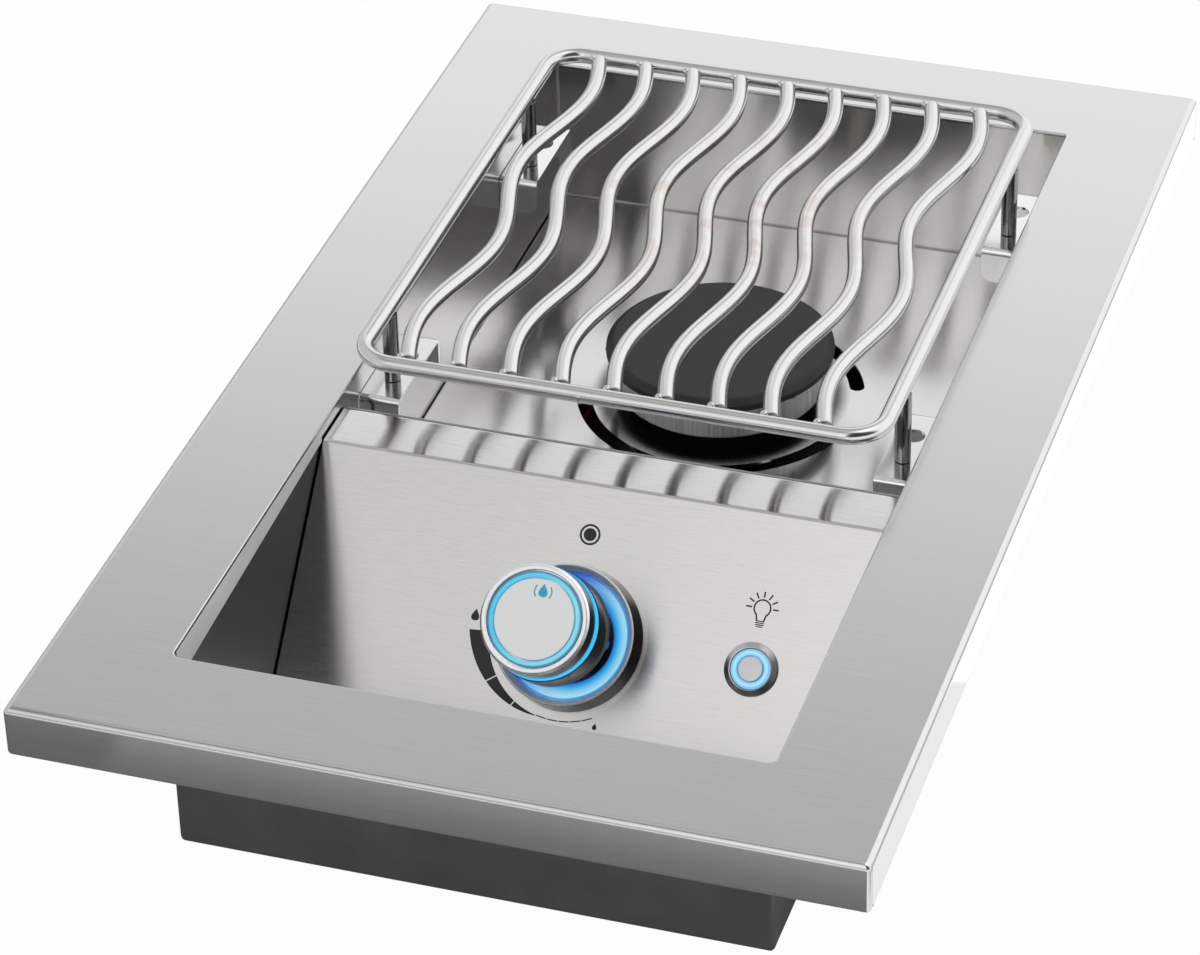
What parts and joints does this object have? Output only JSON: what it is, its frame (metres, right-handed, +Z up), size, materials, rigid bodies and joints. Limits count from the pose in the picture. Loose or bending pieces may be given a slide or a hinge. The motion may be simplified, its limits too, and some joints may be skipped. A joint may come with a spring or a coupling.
{
  "type": "built-in gas side burner",
  "caption": "Drop-in gas side burner: stainless trim frame, deep box, wire grate of wavy rods, round capped burner, sloping control panel with a lit push-and-turn knob and a light button.",
  "frame": {"origin": "centre of the bounding box at the underside of the fire box", "axes": "+X to the right seen from the knob side, +Y from the control panel to the burner (back), +Z up"},
  "size_m": [0.356, 0.599, 0.1207],
  "materials": {
    "brushed_steel": "brushed, satin",
    "dark_sheet": "dull rolled sheet",
    "polished_steel": "polished",
    "dark_chrome": "black chrome, polished",
    "brass": "machined",
    "cast_aluminium": "cast, satin",
    "zinc_sheet": "zinc coated sheet",
    "spring_steel": "drawn wire",
    "black_enamel": "satin black enamel",
    "ceramic": "glazed, off-white",
    "black_plastic": "moulded, matt",
    "lead_jacket": "silicone jacket",
    "blue_light": "translucent, lit blue from within"
  },
  "bodies": {
    "body": {"trim_frame": "brushed_steel", "fire_box": "dark_sheet", "burner_floor": "brushed_steel", "divider_plate": "zinc_sheet", "floor_rail_left": "zinc_sheet", "floor_rail_right": "zinc_sheet", "control_panel": "brushed_steel", "knob_bezel": "polished_steel", "bezel_light_ring": "blue_light", "stem_spring": "spring_steel", "valve_bonnet": "cast_aluminium", "valve_screw_left": "polished_steel", "valve_screw_right": "polished_steel", "valve_body": "brass", "gas_orifice": "brass", "mixer_tube": "zinc_sheet", "air_shutter": "zinc_sheet", "burner_base": "cast_aluminium", "burner_head": "brushed_steel", "igniter_body": "ceramic", "igniter_electrode": "spring_steel", "spark_module": "black_plastic", "ignition_lead": "lead_jacket", "supply_tube": "cast_aluminium", "gas_inlet_fitting": "brass", "gas_inlet_lock_nut": "brass", "light_power_socket": "black_plastic", "light_lead": "black_plastic", "switch_bezel": "dark_chrome", "switch_nut": "zinc_sheet", "switch_terminals": "brass", "grate_bracket_front_left": "brushed_steel", "grate_bracket_front_right": "brushed_steel", "grate_bracket_rear_left": "brushed_steel", "grate_bracket_rear_right": "brushed_steel"},
    "grate": {"grate_frame": "polished_steel", "grate_leg_front_left": "polished_steel", "grate_leg_front_right": "polished_steel", "grate_leg_rear_left": "polished_steel", "grate_leg_rear_right": "polished_steel", "grate_rod_1": "polished_steel", "grate_rod_2": "polished_steel", "grate_rod_3": "polished_steel", "grate_rod_4": "polished_steel", "grate_rod_5": "polished_steel", "grate_rod_6": "polished_steel", "grate_rod_7": "polished_steel", "grate_rod_8": "polished_steel", "grate_rod_9": "polished_steel"},
    "burner_cap": {"burner_cap": "black_enamel"},
    "stem_push": {"stem_spring_seat": "spring_steel"},
    "knob": {"knob_cap": "polished_steel", "knob_face_light": "blue_light", "knob_face_disc": "brushed_steel", "knob_side_light": "blue_light", "knob_skirt": "dark_chrome", "valve_stem": "brass"},
    "light_button": {"switch_button": "brushed_steel", "switch_light_ring": "blue_light"}
  },
  "joints": [
    {"name": "grate_lift", "type": "slide", "parent": "body", "child": "grate", "axis": [0, 0, 1], "range_m": [0, 0.12]},
    {"name": "cap_lift", "type": "slide", "parent": "body", "child": "burner_cap", "axis": [0, 0, 1], "range_m": [0, 0.03]},
    {"name": "knob_push", "type": "slide", "parent": "body", "child": "stem_push", "axis": [0, 0.7314, -0.682], "range_m": [0, 0.0035], "stiffness_N_per_m": 1000, "springref_m": -0.004, "deforming": ["stem_spring"]},
    {"name": "knob_turn", "type": "hinge", "parent": "stem_push", "child": "knob", "pos_m": [0, -0.12235, 0.03636], "axis": [0, -0.7314, 0.682], "range_deg": [0, 195]},
    {"name": "light_button_push", "type": "slide", "parent": "body", "child": "light_button", "axis": [0, 0.7314, -0.682], "range_m": [0, 0.0015], "stiffness_N_per_m": 1500, "springref_m": -0.001}
  ]
}
